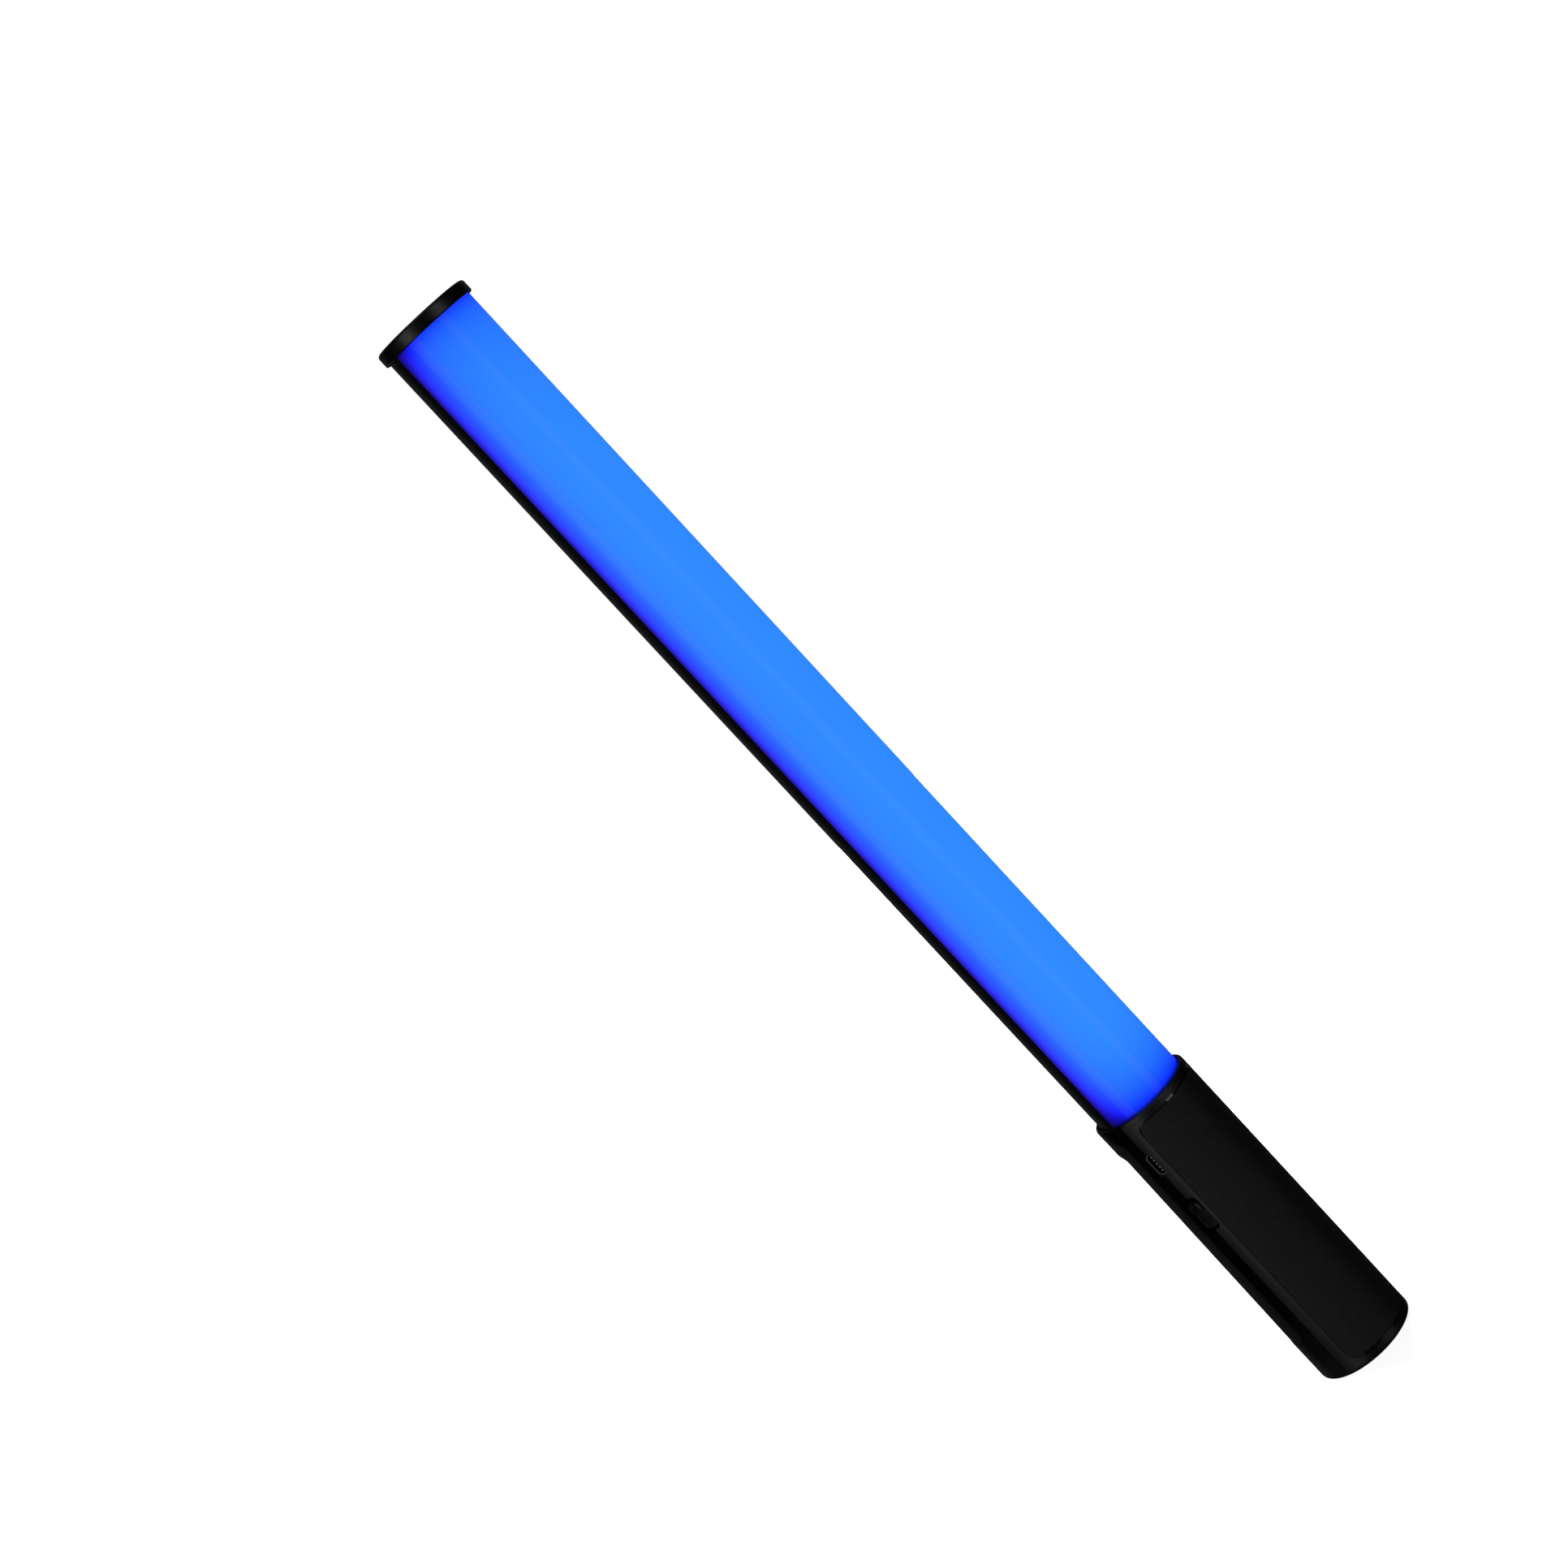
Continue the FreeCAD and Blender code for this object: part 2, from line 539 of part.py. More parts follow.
def switch_knob():
    plate = band(PLATE_R, (KNOB_Z - PLATE_HALF[1], KNOB_Z + PLATE_HALF[1]), PORT_SIDE,
                 math.degrees(PLATE_HALF[0] / PLATE_R[1]))
    block_in = rounded_bar((-24, -15), KNOB_HALF[0], KNOB_HALF[1], KNOB_Z, KNOB_CORNER)
    face = band((PLATE_R[0] + 0.2, KNOB_R), (KNOB_Z - 10, KNOB_Z + 10), PORT_SIDE, 30.0)
    stem = block_in.common(face)
    teeth = []
    for step in range(TEETH):
        z = KNOB_Z - 0.2 - step * TOOTH_PITCH
        for side in (-1, 1):
            foot = (-KNOB_R + 0.15, side * TOOTH_Y, z - TOOTH_LEN / 2)
            teeth.append(rod(TOOTH_R, foot, (0, 0, 1), TOOTH_LEN))
    prongs = []
    for side in (-1, 1):
        zs = (KNOB_Z + side * 0.8, KNOB_Z + side * 1.9)
        prongs.append(block((-15.6, -13.9), (-0.9, 0.9), zs))
    knob = stem.fuse([plate, thumb_pad()] + teeth + prongs).cut(power_mark())
    return knob.removeSplitter()


# ---------------------------------------------------------------- what the handle holds
def main_board():
    outline = [(-13.6, 70.0), (-8.2, 70.0), (-8.2, 84.0), (12.0, 84.0), (12.0, 106.0),
               (-15.0, 106.0), (-15.0, 93.5), (-13.6, 93.5)]
    points = [V(x, MAIN_BOARD_Y, z) for x, z in outline]
    return Part.Face(Part.makePolygon(points + points[:1])).extrude(V(0, BOARD_T, 0))


def board_components():
    """Inductor, driver, processor, radio module and capacitors on the main board's two faces."""
    back_y, front_y = MAIN_BOARD_Y + BOARD_T, MAIN_BOARD_Y
    parts = [block((4.0, 10.5), (back_y, back_y + 3.0), (86.0, 92.5)),
             block((-12.0, -6.0), (back_y, back_y + 1.2), (86.0, 92.0)),
             block((5.0, 11.0), (back_y, back_y + 2.0), (97.0, 104.5)),
             block((-8.0, 4.0), (front_y - 1.8, front_y), (86.0, 104.0))]
    for x in (6.0, 9.5):
        for z in (88.0, 93.0, 98.0):
            parts.append(block((x - 1.0, x + 1.0), (front_y - 1.4, front_y), (z - 0.8, z + 0.8)))
    return parts


def battery_cell():
    cell = rod(CELL_R, (0, CELL_Y, CELL_Z[0]), (0, 0, 1), CELL_Z[1] - CELL_Z[0])
    return cell.makeFillet(0.8, [e for e in cell.Edges if e.Length > 60])


def battery_tabs():
    """Flat metal tabs welded to the cell's ends; the lower one reaches past its edge."""
    half_w, thick = 3.5, 0.3
    top = block((-half_w, half_w), (CELL_Y - 5.0, CELL_Y + 5.0), (CELL_Z[1], CELL_Z[1] + thick))
    low = block((-half_w, half_w), (CELL_Y - 5.0, LOW_TAB_END_Y), (CELL_Z[0] - thick, CELL_Z[0]))
    return [top, low]


def battery_pad():
    return rod(9.0, (0, CELL_Y, INSERT_H + 0.05), (0, 0, 1), CELL_Z[0] - 0.35 - INSERT_H)


def wire(points):
    """A round lead through the points, with a ball at each bend."""
    pieces = []
    for start, end in zip(points, points[1:]):
        way = V(*end) - V(*start)
        pieces.append(Part.makeCylinder(LEAD_R, way.Length, V(*start), way))
    balls = [Part.makeSphere(LEAD_R, V(*point)) for point in points[1:-1]]
    return pieces[0].fuse(pieces[1:] + balls).removeSplitter()


def battery_leads():
    """One lead from each tab to the main board: the first in front of it, the second behind."""
    back_y = MAIN_BOARD_Y + BOARD_T
    tab_z = CELL_Z[1] + 0.3
    upper = wire([(-2.0, CELL_Y, tab_z), (-2.0, CELL_Y, tab_z + 1.7), (-10.0, -3.0, LEAD_Z),
                  (-10.0, MAIN_BOARD_Y, LEAD_Z)])
    side_y = LOW_TAB_END_Y + LEAD_R
    lower = wire([(0, side_y, CELL_Z[0] - 0.3), (0, side_y, LEAD_Z), (0, back_y, LEAD_Z)])
    return [upper, lower]


def led_leads():
    y = MAIN_BOARD_Y + BOARD_T / 2
    low, high = 106.0, LED_BOARD_ENDS[0]
    return [rod(0.5, (x, y, low), (0, 0, 1), high - low) for x in (-4.5, -1.5, 1.5, 4.5)]


def tripod_insert():
    body = rod(INSERT_R, (0, 0, 0), (0, 0, 1), INSERT_H)
    hexagon = [V(INSERT_FLANGE_R * math.cos(math.radians(60 * k)),
                 INSERT_FLANGE_R * math.sin(math.radians(60 * k)), FLOOR_T) for k in range(7)]
    flange = Part.Face(Part.makePolygon(hexagon)).extrude(V(0, 0, INSERT_FLANGE_H))
    bore = rod(THREAD_R, (0, 0, -1), (0, 0, 1), THREAD_DEPTH + 1)
    mouth = Part.makeCone(THREAD_R + 0.6, THREAD_R, 0.6, V(), V(0, 0, 1))
    return body.fuse(flange).cut([bore, mouth]).removeSplitter()


def case_screw(side, z):
    x = side * CASE_SCREW_X
    head_y = CASE_SCREW_HEAD_Y
    head = rod(1.9, (x, head_y - 1.4, z), (0, 1, 0), 1.4)
    shank = rod(1.0, (x, head_y - 1.6 - 11.0, z), (0, 1, 0), 11.4)
    return head.fuse(shank).cut(cross_slot((x, head_y, z), "y", 1.1, 0.7))


def socket_gasket():
    return band((LEDGE_R + 0.2, SOCKET_R - 0.2), (LEDGE[1], TUBE_FOOT_Z))


# ---------------------------------------------------------------- one file per node
blank = handle_blank()
save("heat_sink", heat_sink())
save("diffuser", diffuser())
save("led_board", block((-LED_BOARD_HALF_W, LED_BOARD_HALF_W), (SHELF_Y - LED_BOARD_T, SHELF_Y),
                        LED_BOARD_ENDS))
save("warm_leds", *led_row(-WHITE_LED_X, WHITE_LED, 0.0))
save("cool_leds", *led_row(WHITE_LED_X, WHITE_LED, 0.0))
save("rgb_leds", *led_row(0.0, RGB_LED, 0.0))
save("tip_cap", tip_cap())
save("cap_screws", *[cap_screw(side) for side in (-1, 1)])
save("front_shell", front_shell(blank))
save("back_shell", back_shell(blank))
save("grip_panel", grip_panel())
save("panel_clips", *panel_clips())
save("control_panel", control_panel())
save("display_window", display_window())
save("display_module", display_module())
save("control_board", control_board())
save("control_ribbon", control_ribbon())
save("tact_switches", *[tact_switch(name) for name in BUTTONS])
for button_name in BUTTONS:
    save(button_name, button(button_name))
save("usb_shell", usb_shell())
save("usb_tongue", usb_tongue())
save("usb_contacts", *usb_contacts())
save("switch_body", switch_body())
save("switch_lever", switch_lever())
save("switch_knob", switch_knob())
save("main_board", main_board())
save("board_components", *board_components())
save("battery_cell", battery_cell())
save("battery_tabs", *battery_tabs())
save("battery_pad", battery_pad())
save("battery_leads", *battery_leads())
save("led_leads", *led_leads())
save("tripod_insert", tripod_insert())
save("case_screws", *[case_screw(side, z) for side in (-1, 1) for z in CASE_SCREW_ZS])
save("socket_gasket", socket_gasket())
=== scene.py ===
import json
import math

import bpy
from mathutils import Matrix, Vector


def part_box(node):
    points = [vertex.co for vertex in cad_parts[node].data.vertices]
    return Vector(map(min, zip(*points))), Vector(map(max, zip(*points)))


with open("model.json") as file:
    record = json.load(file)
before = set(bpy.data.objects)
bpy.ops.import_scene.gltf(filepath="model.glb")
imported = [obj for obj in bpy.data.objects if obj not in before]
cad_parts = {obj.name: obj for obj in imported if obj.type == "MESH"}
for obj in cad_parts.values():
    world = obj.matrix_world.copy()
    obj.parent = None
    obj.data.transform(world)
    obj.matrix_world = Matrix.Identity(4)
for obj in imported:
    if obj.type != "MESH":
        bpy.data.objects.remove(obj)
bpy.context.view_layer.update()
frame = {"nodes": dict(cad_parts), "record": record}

# Metres, in the CAD frame: +Z up the tube, the lit side faces -Y, the controls face +Y.
MM = 0.001
NODES = frame["nodes"]
COLLAR_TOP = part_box("front_shell")[1].z
CAP_RIM = 5 * MM
CAP_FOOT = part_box("tip_cap")[1].z - CAP_RIM

# Camera, measured from the object's axis: azimuth 0 looks along +Y
CAM_AZIMUTH = math.radians(-49.7)
CAM_DISTANCE, CAM_HEIGHT = 1.0548, 0.428
CAM_AIM = Vector((-0.0112, 0.0127, 0.2879))
CAM_ROLL = math.radians(-42.95)
CAM_LENS, CAM_SENSOR = 71.14, 36.0

# Noise scales, in marks per metre: handling marks, plain surfaces' grain and metal's grain
CLOUD, TINT_GRAIN, METAL_GRAIN = 45.0, 300.0, 2500.0

# Spacing of the bright spots painted on the port's tongue as the contacts' glints
CONTACT_GLINT_STEP = 1.5 * MM

# The display's readout: how many bars, a bar's share of the room for one, the margin around them,
# and the first bar's height and the step to the next one as shares of the room's height
LEVEL_BARS, BAR_WIDTH = 5.0, 0.60
READOUT_MARGIN = 2.6 * MM
FIRST_BAR, BAR_STEP = 0.22, 0.17

# Heights between which the back shell turns from its foot's satin to its own gloss
FOOT_FADE = (6 * MM, 30 * MM)

# The stage: the floor's half size, and the soft boxes' height above it
FLOOR_HALF = 60.0
BOX_HEIGHT = 0.45

# The lit diffuser: its strength, and its colour by the angle in degrees from the front
GLOW_STRENGTH = 5.0
GLOW = ((45, (0.0060, 0.0530, 1.00)), (61, (0.0062, 0.0480, 0.92)), (74, (0.0050, 0.0375, 0.72)),
        (84.5, (0.0048, 0.0220, 0.42)), (94.5, (0.0058, 0.0088, 0.22)),
        (99.5, (0.0042, 0.0028, 0.13)), (103, (0.0022, 0.0009, 0.065)))


# ---------------------------------------------------------------- node helpers
class Shade:
    """A material's node tree, with short calls for the nodes that these materials use."""

    def __init__(self, name):
        self.mat = bpy.data.materials.new(name)
        self.mat.use_nodes = True
        self.tree = self.mat.node_tree
        self.main = next(n for n in self.tree.nodes if n.type == "BSDF_PRINCIPLED")
        self.where = self.add("ShaderNodeTexCoord").outputs["Object"]

    def add(self, kind, **settings):
        node = self.tree.nodes.new(kind)
        for key, value in settings.items():
            setattr(node, key, value)
        return node

    def link(self, source, target):
        self.tree.links.new(source, target)

    def fix(self, **values):
        """Sets plain values on the shader: an underscore in a name stands for a space."""
        for key, value in values.items():
            self.main.inputs[key.replace("_", " ")].default_value = value

    def along(self, axis):
        """The object's own coordinate along one axis."""
        node = self.add("ShaderNodeSeparateXYZ")
        self.link(self.where, node.inputs["Vector"])
        return node.outputs[axis]

    def stretched(self, scale):
        """The object's own coordinates, scaled along X, Y and Z."""
        node = self.add("ShaderNodeMapping")
        node.inputs["Scale"].default_value = scale
        self.link(self.where, node.inputs["Vector"])
        return node.outputs["Vector"]

    def noise(self, scale, detail=4.0, roughness=0.6, stretch=None):
        node = self.add("ShaderNodeTexNoise")
        node.inputs["Scale"].default_value = scale
        node.inputs["Detail"].default_value = detail
        node.inputs["Roughness"].default_value = roughness
        self.link(self.stretched(stretch) if stretch else self.where, node.inputs["Vector"])
        return node.outputs["Fac"]

    def cells(self, scale):
        node = self.add("ShaderNodeTexVoronoi")
        node.inputs["Scale"].default_value = scale
        self.link(self.where, node.inputs["Vector"])
        return node.outputs["Distance"]

    def ramp(self, source, *stops):
        """A colour ramp from (position, colour) stops."""
        node = self.add("ShaderNodeValToRGB")
        marks = node.color_ramp.elements
        while len(marks) < len(stops):
            marks.new(1.0)
        for glint, (place, colour) in zip(marks, stops):
            glint.position = place
            glint.color = (*colour, 1.0)
        self.link(source, node.inputs["Fac"])
        return node.outputs["Color"]

    def between(self, source, low, high, from_low=0.3, from_high=0.7):
        """Maps a value's range onto another."""
        node = self.add("ShaderNodeMapRange")
        numbers = {"From Min": from_low, "From Max": from_high, "To Min": low, "To Max": high}
        for key, value in numbers.items():
            node.inputs[key].default_value = value
        self.link(source, node.inputs["Value"])
        return node.outputs["Result"]

    def maths(self, first, second=0.0, operation="ADD"):
        """One sum on a socket and either a number or another socket."""
        node = self.add("ShaderNodeMath", operation=operation)
        self.link(first, node.inputs[0])
        if isinstance(second, float):
            node.inputs[1].default_value = second
        else:
            self.link(second, node.inputs[1])
        return node.outputs[0]

    def fade(self, height, start, length):
        """1 at the start height, falling off exponentially; a negative length fades downwards."""
        away = self.maths(self.maths(height, -start), -1.0 / length, "MULTIPLY")
        return self.maths(away, operation="EXPONENT")

    def kept(self, faded, share):
        """What is left after taking a share of a fade away, never below nothing."""
        node = self.add("ShaderNodeMath", operation="MULTIPLY_ADD", use_clamp=True)
        self.link(faded, node.inputs[0])
        node.inputs[1].default_value = -share
        node.inputs[2].default_value = 1.0
        return node.outputs[0]

    def shaded(self, colour, share):
        """A colour, darkened or lightened by a share."""
        node = self.add("ShaderNodeVectorMath", operation="SCALE")
        self.link(colour, node.inputs[0])
        self.link(share, node.inputs["Scale"])
        return node.outputs["Vector"]

    def bump(self, height, distance, strength=1.0):
        node = self.add("ShaderNodeBump")
        node.inputs["Distance"].default_value = distance
        node.inputs["Strength"].default_value = strength
        self.link(height, node.inputs["Height"])
        self.link(node.outputs["Normal"], self.main.inputs["Normal"])

    def colour(self, socket):
        self.link(socket, self.main.inputs["Base Color"])

    def rough(self, socket):
        self.link(socket, self.main.inputs["Roughness"])

    def glow(self, socket):
        self.link(socket, self.main.inputs["Emission Color"])


def grey(level):
    """A near-neutral grey, a touch cool."""
    return (level, level, level * 1.03)


def moulded(name, level, rough, grain, depth, gloss=0.5):
    """Black moulded plastic: a fine grain in its gloss and height, and faint handling marks."""
    s = Shade(name)
    fine = s.noise(1 / grain, 5.0, 0.65)
    cloud = s.noise(CLOUD, 3.0)
    s.colour(s.ramp(cloud, (0.3, grey(level * 0.8)), (0.7, grey(level * 1.25))))
    wear = s.maths(s.between(cloud, rough - 0.04, rough + 0.05), s.between(fine, -0.05, 0.05))
    s.rough(wear)
    s.bump(fine, depth)
    s.fix(Specular_IOR_Level=gloss)
    return s.mat


def back_plastic():
    """The back shell: glossier black than the front one, turning satin and paler at its foot."""
    s = Shade("back_shell_plastic")
    foot = s.between(s.along("Z"), 1.0, 0.0, *FOOT_FADE)
    fine = s.noise(1 / (0.45 * MM), 5.0, 0.65)
    cloud = s.noise(CLOUD, 3.0)
    tint = s.ramp(foot, (0.0, grey(0.0012)), (1.0, grey(0.014)))
    s.colour(s.shaded(tint, s.between(cloud, 0.85, 1.2)))
    satin = s.between(foot, 0.27, 0.42, 0.0, 1.0)
    s.rough(s.maths(satin, s.maths(s.between(cloud, 0.0, 0.05), s.between(fine, -0.03, 0.05))))
    s.bump(fine, 0.004 * MM)
    s.fix(Specular_IOR_Level=0.28)
    return s.mat


def grained(name, level, rough, grain, depth, gloss=0.5):
    """Matte black with a stippled, slightly speckled grain."""
    s = Shade(name)
    speck = s.cells(1 / grain)
    fine = s.noise(2.2 / grain, 3.0)
    both = s.maths(speck, fine)
    s.colour(s.ramp(both, (0.45, grey(level * 0.35)), (1.05, grey(level * 1.9))))
    s.rough(s.between(both, rough - 0.08, rough + 0.08, 0.5, 1.1))
    s.bump(both, depth)
    s.fix(Specular_IOR_Level=gloss)
    return s.mat


def anodised():
    """Black anodised extrusion: fine die lines along it and a soft, slightly uneven sheen."""
    s = Shade("anodised_aluminium")
    lines = s.noise(1500.0, 2.0, 0.5, (1.0, 1.0, 0.003))
    grain = s.noise(4200.0, 2.0)
    s.colour(s.ramp(lines, (0.35, (0.0055, 0.0055, 0.0062)), (0.65, (0.0072, 0.0072, 0.0079))))
    s.rough(s.maths(s.between(lines, 0.30, 0.42), s.between(grain, -0.03, 0.03)))
    s.bump(s.maths(lines, grain), 0.012 * MM, 0.6)
    s.fix(Metallic=0.0, Specular_IOR_Level=0.55)
    return s.mat


def opal():
    """The lit diffuser: blue over the middle, violet towards its seams, and dimmer at its ends."""
    s = Shade("opal_diffuser")
    # The angle from the front on either side, 0 at -Y and 1 at +Y
    turn = s.maths(s.along("X"), s.maths(s.along("Y"), -1.0, "MULTIPLY"), "ARCTAN2")
    angle = s.maths(s.maths(turn, operation="ABSOLUTE"), 1 / math.pi, "MULTIPLY")
    across = s.ramp(angle, *((degrees / 180, tint) for degrees, tint in GLOW))
    height = s.along("Z")
    low = s.kept(s.fade(height, COLLAR_TOP - 0.7 * MM, 9.5 * MM), 1.0)
    high = s.maths(s.kept(s.fade(height, CAP_FOOT, -5 * MM), 0.45),
                   s.kept(s.fade(height, CAP_FOOT, -25 * MM), 0.40))
    along = s.maths(s.maths(low, 1.25, "POWER"), s.maths(high, -1.0), "MULTIPLY")
    grain = s.noise(1400.0, 3.0)
    level = s.maths(along, s.between(grain, 0.975, 1.0), "MULTIPLY")
    # Towards the ends green goes first, most of all beside the seams, and blue goes last
    tints = s.add("ShaderNodeSeparateColor")
    s.link(across, tints.inputs[0])
    lit = s.add("ShaderNodeCombineColor")
    green_power = s.between(angle, 1.0, 2.5, 66 / 180, 98 / 180)
    for channel, power in (("Red", 1.0), ("Green", green_power), ("Blue", 0.7)):
        part = s.maths(tints.outputs[channel], s.maths(level, power, "POWER"), "MULTIPLY")
        s.link(part, lit.inputs[channel])
    s.glow(lit.outputs[0])
    s.colour(s.ramp(grain, (0.3, (0.010, 0.016, 0.04)), (0.7, (0.014, 0.022, 0.05))))
    s.rough(s.between(grain, 0.26, 0.32))
    s.bump(grain, 0.003 * MM, 0.5)
    s.fix(Emission_Strength=GLOW_STRENGTH, Specular_IOR_Level=0.0, Coat_Weight=0.5,
          Coat_Roughness=0.09, Coat_IOR=1.28)
    return s.mat


def metal(name, tint, rough, lines=(1.0, 1.0, 1.0)):
    """Plated or machined metal with fine lines or grain."""
    s = Shade(name)
    fine = s.noise(METAL_GRAIN, 4.0, 0.6, lines)
    dark = tuple(c * 0.8 for c in tint)
    s.colour(s.ramp(fine, (0.3, dark), (0.7, tint)))
    s.rough(s.between(fine, rough - 0.06, rough + 0.08))
    s.bump(fine, 0.01 * MM, 0.5)
    s.fix(Metallic=1.0)
    return s.mat


def port_metal():
    """The port's plated steel, bright at its lip, with painted shade darkening it down its throat."""
    s = Shade("port_steel")
    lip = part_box("usb_shell")[0].x
    fine = s.noise(METAL_GRAIN, 4.0)
    tint = s.ramp(fine, (0.3, (0.66, 0.63, 0.60)), (0.7, (0.82, 0.79, 0.76)))
    # Painted shade: the colour falls to near black a few tenths of a millimetre into the throat
    s.colour(s.shaded(tint, s.between(s.along("X"), 1.0, 0.03, lip + 0.1 * MM, lip + 0.3 * MM)))
    s.rough(s.between(fine, 0.38, 0.48))
    s.bump(fine, 0.01 * MM, 0.5)
    s.fix(Metallic=1.0)
    return s.mat


def port_tongue():
    """The port's black tongue, with a row of painted glints for the contact ends across its tip."""
    s = Shade("port_tongue")
    low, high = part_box("usb_tongue")
    height = s.maths(s.along("Z"), -(low.z + high.z) / 2)
    # Painted highlight: bright grey spots across the tongue's tip stand for the contacts' glints
    wave = s.maths(s.maths(height, 2 * math.pi / CONTACT_GLINT_STEP, "MULTIPLY"), operation="COSINE")
    tip = s.between(s.along("X"), 1.0, 0.0, low.x + 0.05 * MM, low.x + 0.15 * MM)
    glint = s.maths(s.between(wave, 0.0, 1.0, 0.1, 0.4), tip, "MULTIPLY")
    s.colour(s.ramp(glint, (0.1, grey(0.002)), (0.9, (0.42, 0.41, 0.39))))
    fine = s.noise(METAL_GRAIN, 3.0)
    s.rough(s.between(fine, 0.42, 0.55))
    s.bump(fine, 0.005 * MM, 0.5)
    s.fix(Specular_IOR_Level=0.3)
    return s.mat


def display_glass():
    """Dark polished glass with a lit readout: a rising row of plain level bars."""
    s = Shade("display_glass")
    low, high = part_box("display_window")
    right, left = low.x + READOUT_MARGIN, high.x - READOUT_MARGIN
    foot, head = low.z + READOUT_MARGIN, high.z - READOUT_MARGIN
    # From behind, +X is on the left, so the bars count towards -X
    across = s.between(s.along("X"), 0.0, LEVEL_BARS, left, right)
    height = s.between(s.along("Z"), 0.0, 1.0, foot, head)
    bar = s.between(s.maths(across, operation="FRACT"), 1.0, 0.0, BAR_WIDTH, BAR_WIDTH + 0.06)
    inside = s.maths(s.between(across, 0.0, 1.0, 0.0, 0.04),
                     s.between(across, 1.0, 0.0, LEVEL_BARS - 0.08, LEVEL_BARS - 0.04), "MULTIPLY")
    column = s.maths(across, operation="FLOOR")
    top = s.maths(s.maths(column, BAR_STEP, "MULTIPLY"), FIRST_BAR)
    filled = s.maths(s.between(s.maths(top, height, "SUBTRACT"), 0.0, 1.0, 0.0, 0.03),
                     s.between(height, 0.0, 1.0, 0.0, 0.03), "MULTIPLY")
    shown = s.maths(s.maths(bar, inside, "MULTIPLY"), filled, "MULTIPLY")
    s.glow(s.ramp(shown, (0.0, (0, 0, 0)), (1.0, (0.42, 0.72, 1.0))))
    fine = s.noise(60.0, 4.0)
    s.colour(s.ramp(fine, (0.3, (0.006, 0.006, 0.007)), (0.7, (0.009, 0.009, 0.011))))
    s.rough(s.between(fine, 0.05, 0.10))
    s.bump(fine, 0.002 * MM, 0.4)
    s.fix(Emission_Strength=0.7, Coat_Weight=0.6)
    return s.mat


def smooth_tint(name, dark, light, rough):
    """Any other plain surface: two near tones, and a fine grain in gloss and height."""
    s = Shade(name)
    fine = s.noise(TINT_GRAIN, 4.0)
    s.colour(s.ramp(fine, (0.3, dark), (0.7, light)))
    s.rough(s.between(fine, rough - 0.05, rough + 0.06))
    s.bump(fine, 0.01 * MM, 0.6)
    return s.mat


MATERIALS = {
    "anodised_back": anodised(),
    "opal_diffuser": opal(),
    "cap_plastic": moulded("cap_plastic", 0.004, 0.33, 0.5 * MM, 0.0025 * MM),
    "shell_plastic": moulded("shell_plastic", 0.003, 0.44, 0.45 * MM, 0.008 * MM, 0.6),
    "grip_surface": grained("grip_surface", 0.0036, 0.48, 0.55 * MM, 0.15 * MM, 0.55),
    "panel_surface": grained("panel_surface", 0.0048, 0.56, 0.5 * MM, 0.12 * MM),
    "clip_plastic": smooth_tint("clip_plastic", (0.20, 0.20, 0.20), (0.27, 0.27, 0.27), 0.4),
    "knob_plastic": moulded("knob_plastic", 0.012, 0.30, 0.35 * MM, 0.008 * MM),
    "button_rubber": grained("button_rubber", 0.022, 0.6, 0.3 * MM, 0.02 * MM),
    "display_glass": display_glass(),
    "display_face": smooth_tint("display_face", (0.010, 0.011, 0.012), (0.016, 0.017, 0.019), 0.2),
    "circuit_board": smooth_tint("circuit_board", (0.010, 0.060, 0.022), (0.018, 0.095, 0.035), 0.35),
    "white_board": smooth_tint("white_board", (0.68, 0.68, 0.66), (0.80, 0.80, 0.78), 0.4),
    "white_led": smooth_tint("white_led", (0.70, 0.50, 0.08), (0.85, 0.66, 0.16), 0.25),
    "rgb_led": smooth_tint("rgb_led", (0.62, 0.62, 0.63), (0.78, 0.78, 0.80), 0.2),
    "chip_plastic": moulded("chip_plastic", 0.018, 0.45, 0.3 * MM, 0.01 * MM),
    "steel": metal("steel", (0.80, 0.78, 0.76), 0.42),
    "gold_contact": metal("gold_contact", (0.98, 0.90, 0.76), 0.50),
    "brass": metal("brass", (0.78, 0.58, 0.28), 0.25, (1.0, 1.0, 4.0)),
    "cell_wrap": smooth_tint("cell_wrap", (0.02, 0.06, 0.26), (0.03, 0.09, 0.34), 0.3),
    "foam": grained("foam", 0.03, 0.9, 0.8 * MM, 0.2 * MM),
    "gasket_rubber": grained("gasket_rubber", 0.012, 0.7, 0.4 * MM, 0.02 * MM),
    "wire": smooth_tint("wire", (0.30, 0.012, 0.012), (0.42, 0.02, 0.02), 0.4),
}

# Nodes with a finish of their own: the back shell is glossier than the front one
NODE_MATERIALS = {
    "usb_shell": port_metal(),
    "usb_tongue": port_tongue(),
    "back_shell": back_plastic(),
}

# Small pieces whose sharp edges are softened, and by how much
SOFT_EDGES = {"switch_knob": 0.08 * MM, "usb_shell": 0.09 * MM, "usb_contacts": 0.04 * MM}


def dress_nodes():
    """Gives every CAD node its own finish or its slot's."""
    for entry in frame["record"]["subparts"]:
        name = entry["node"]
        for place in NODES[name].material_slots:
            place.material = NODE_MATERIALS.get(name, MATERIALS[entry["material_slot"]])
    for name, width in SOFT_EDGES.items():
        bevel = NODES[name].modifiers.new("soft_edges", "BEVEL")
        bevel.width, bevel.segments, bevel.limit_method = width, 3, "ANGLE"
        bevel.angle_limit = math.radians(40)


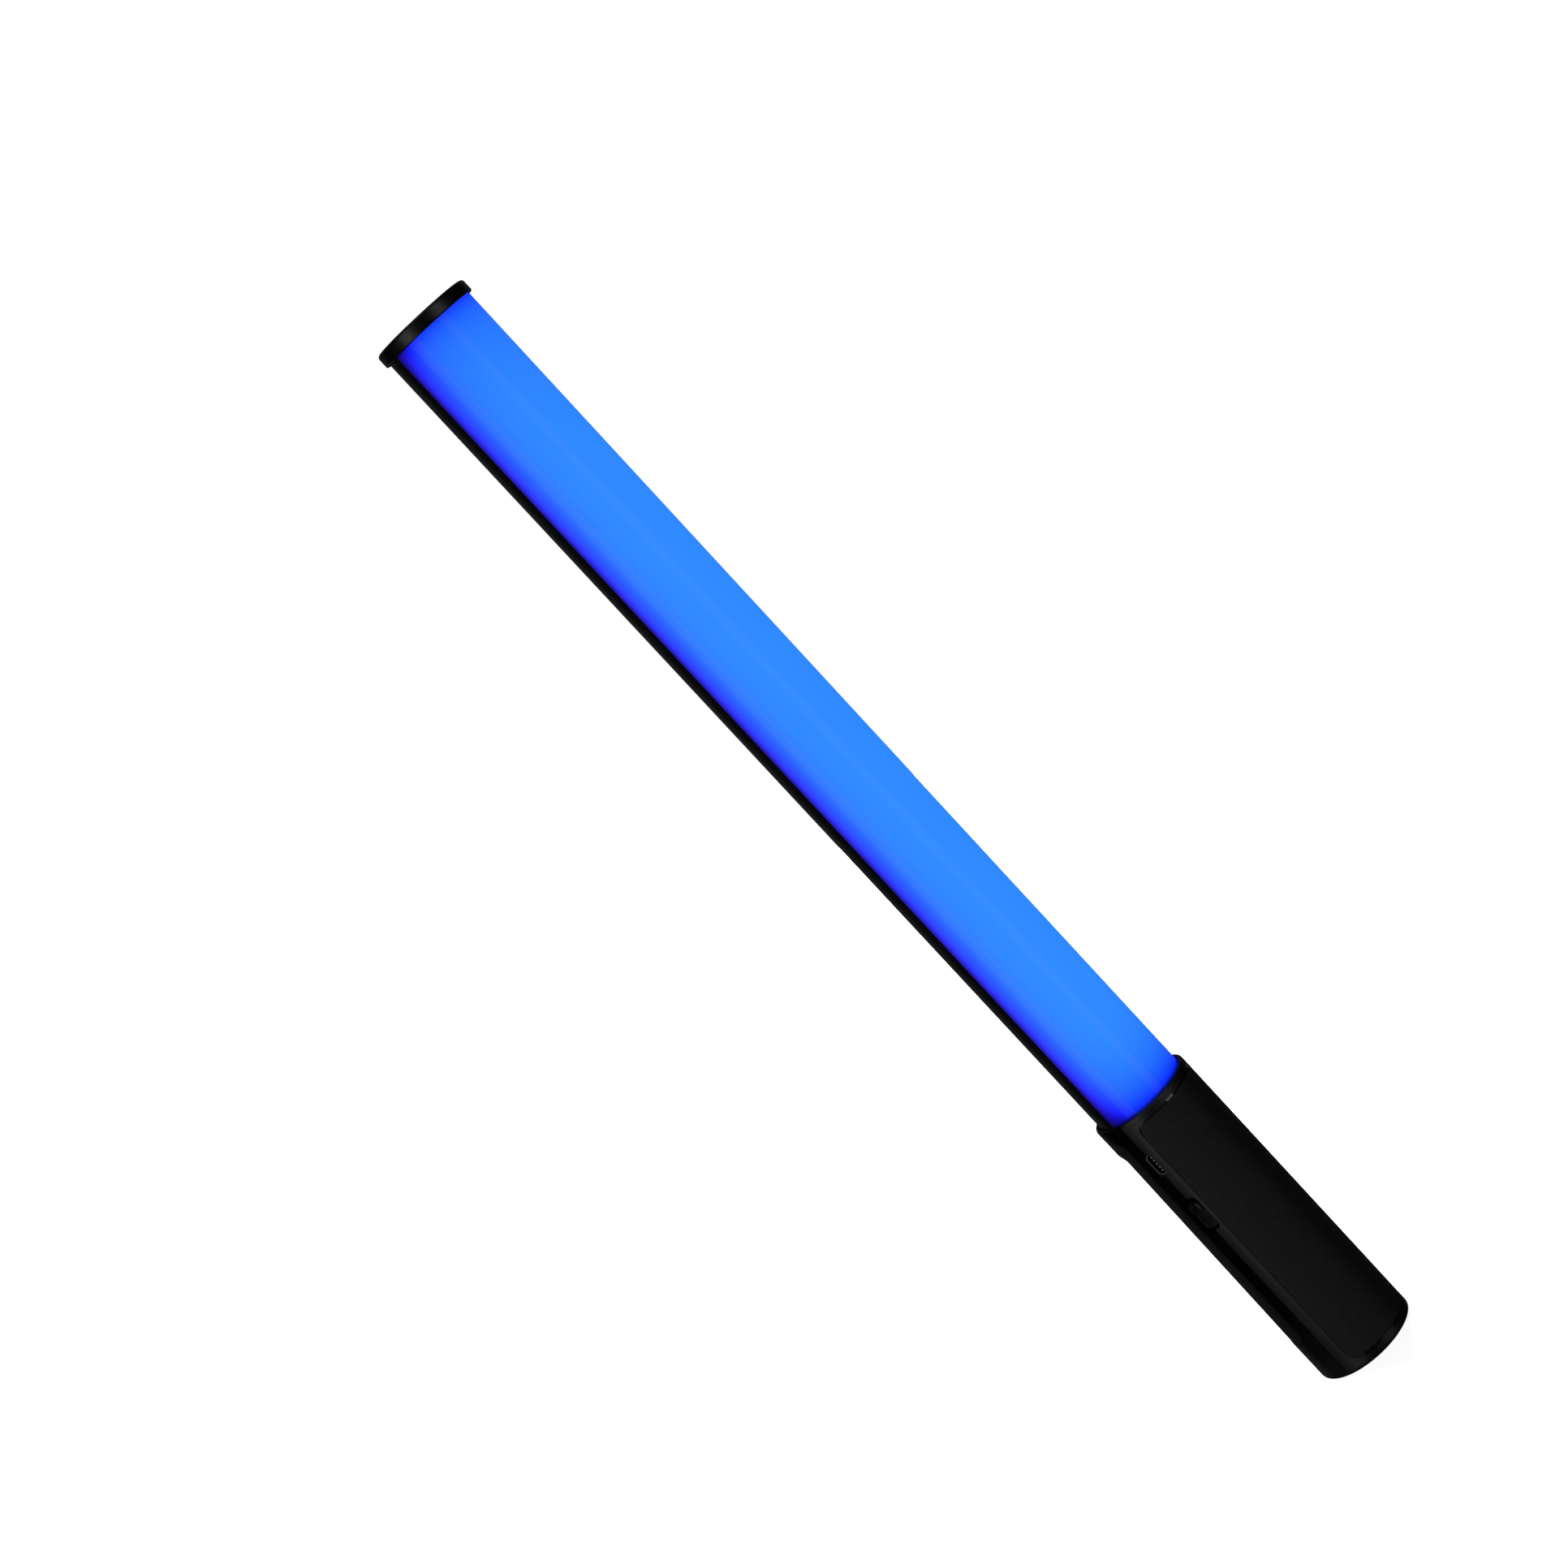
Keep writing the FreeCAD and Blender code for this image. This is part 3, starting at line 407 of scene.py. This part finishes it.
# ---------------------------------------------------------------- stage, light and camera
def white_floor():
    """A wide pale floor that stays out of reflections, like a studio sweep."""
    mesh = bpy.data.meshes.new("floor")
    corners = [(x * FLOOR_HALF, y * FLOOR_HALF, 0) for x, y in ((-1, -1), (1, -1), (1, 1), (-1, 1))]
    mesh.from_pydata(corners, [], [(0, 1, 2, 3)])
    floor = bpy.data.objects.new("floor", mesh)
    bpy.context.collection.objects.link(floor)
    s = Shade("pale_floor")
    away = s.add("ShaderNodeVectorMath", operation="LENGTH")
    s.link(s.where, away.inputs[0])
    shine = s.between(away.outputs["Value"], 0.88, 1.02, 0.15, 1.4)
    s.link(shine, s.main.inputs["Emission Strength"])
    s.fix(Emission_Color=(1, 1, 1, 1), Specular_IOR_Level=0.0)
    cloud = s.noise(30.0)
    s.colour(s.ramp(cloud, (0.3, (0.70, 0.70, 0.70)), (0.7, (0.74, 0.74, 0.74))))
    s.rough(s.between(cloud, 0.8, 0.95))
    floor.data.materials.append(s.mat)
    floor.visible_glossy = False
    floor.visible_diffuse = False
    floor.visible_shadow = False


def soft_box(name, azimuth, distance, size, radiance, glossy=True):
    """An upright light panel facing the object; azimuth is from the camera's side, plus to the right."""
    lamp = bpy.data.lights.new(name, "AREA")
    lamp.shape = "RECTANGLE"
    lamp.size, lamp.size_y = size
    lamp.energy = radiance * math.pi * size[0] * size[1]
    light = bpy.data.objects.new(name, lamp)
    bpy.context.collection.objects.link(light)
    turn = CAM_AZIMUTH + math.radians(azimuth)
    back = Vector((math.sin(turn), -math.cos(turn), 0.0))
    light.visible_camera = False
    light.visible_glossy = glossy
    light.location = back * distance + Vector((0, 0, BOX_HEIGHT))
    light.rotation_mode = "QUATERNION"
    light.rotation_quaternion = (-back).to_track_quat("-Z", "Y")


def lights():
    """Two tall boxes in front, weak ones behind for the edges, and a fill for the dark back."""
    soft_box("key_left", -44.5, 1.3, (0.56, 1.8), 1.2)
    soft_box("fill_right", 39.5, 1.3, (0.48, 1.8), 0.95)
    soft_box("back_left", -154, 1.3, (0.9, 2.6), 0.055)
    soft_box("back_right", 154, 1.3, (0.9, 2.6), 0.05)
    soft_box("back_fill", 190, 1.6, (2.0, 2.6), 9.0, glossy=False)
    lamp = bpy.data.lights.new("top", "AREA")
    lamp.size = 1.2
    lamp.energy = 1.5
    top = bpy.data.objects.new("top", lamp)
    bpy.context.collection.objects.link(top)
    top.location = (0, 0, 1.6)


def white_world():
    """A white backdrop that adds nothing to the object's light or reflections."""
    world = bpy.data.worlds.new("studio")
    world.use_nodes = True
    world.node_tree.nodes["Background"].inputs["Color"].default_value = (1, 1, 1, 1)
    world.node_tree.nodes["Background"].inputs["Strength"].default_value = 1.02
    world.cycles_visibility.diffuse = False
    world.cycles_visibility.glossy = False
    bpy.context.scene.world = world


def camera():
    """The main view: from the front left, rolled so that the tube lies on a slant."""
    cam = bpy.data.objects.new("camera", bpy.data.cameras.new("camera"))
    bpy.context.collection.objects.link(cam)
    cam.data.sensor_width, cam.data.lens = CAM_SENSOR, CAM_LENS
    away = Vector((math.sin(CAM_AZIMUTH), -math.cos(CAM_AZIMUTH), 0.0))
    cam.location = away * CAM_DISTANCE + Vector((0, 0, CAM_HEIGHT))
    look = (CAM_AIM - cam.location).to_track_quat("-Z", "Y")
    cam.rotation_mode = "QUATERNION"
    cam.rotation_quaternion = look @ Matrix.Rotation(CAM_ROLL, 3, "Z").to_quaternion()
    bpy.context.scene.camera = cam


dress_nodes()
white_floor()
lights()
white_world()
camera()
bpy.context.scene.view_settings.view_transform = "Standard"
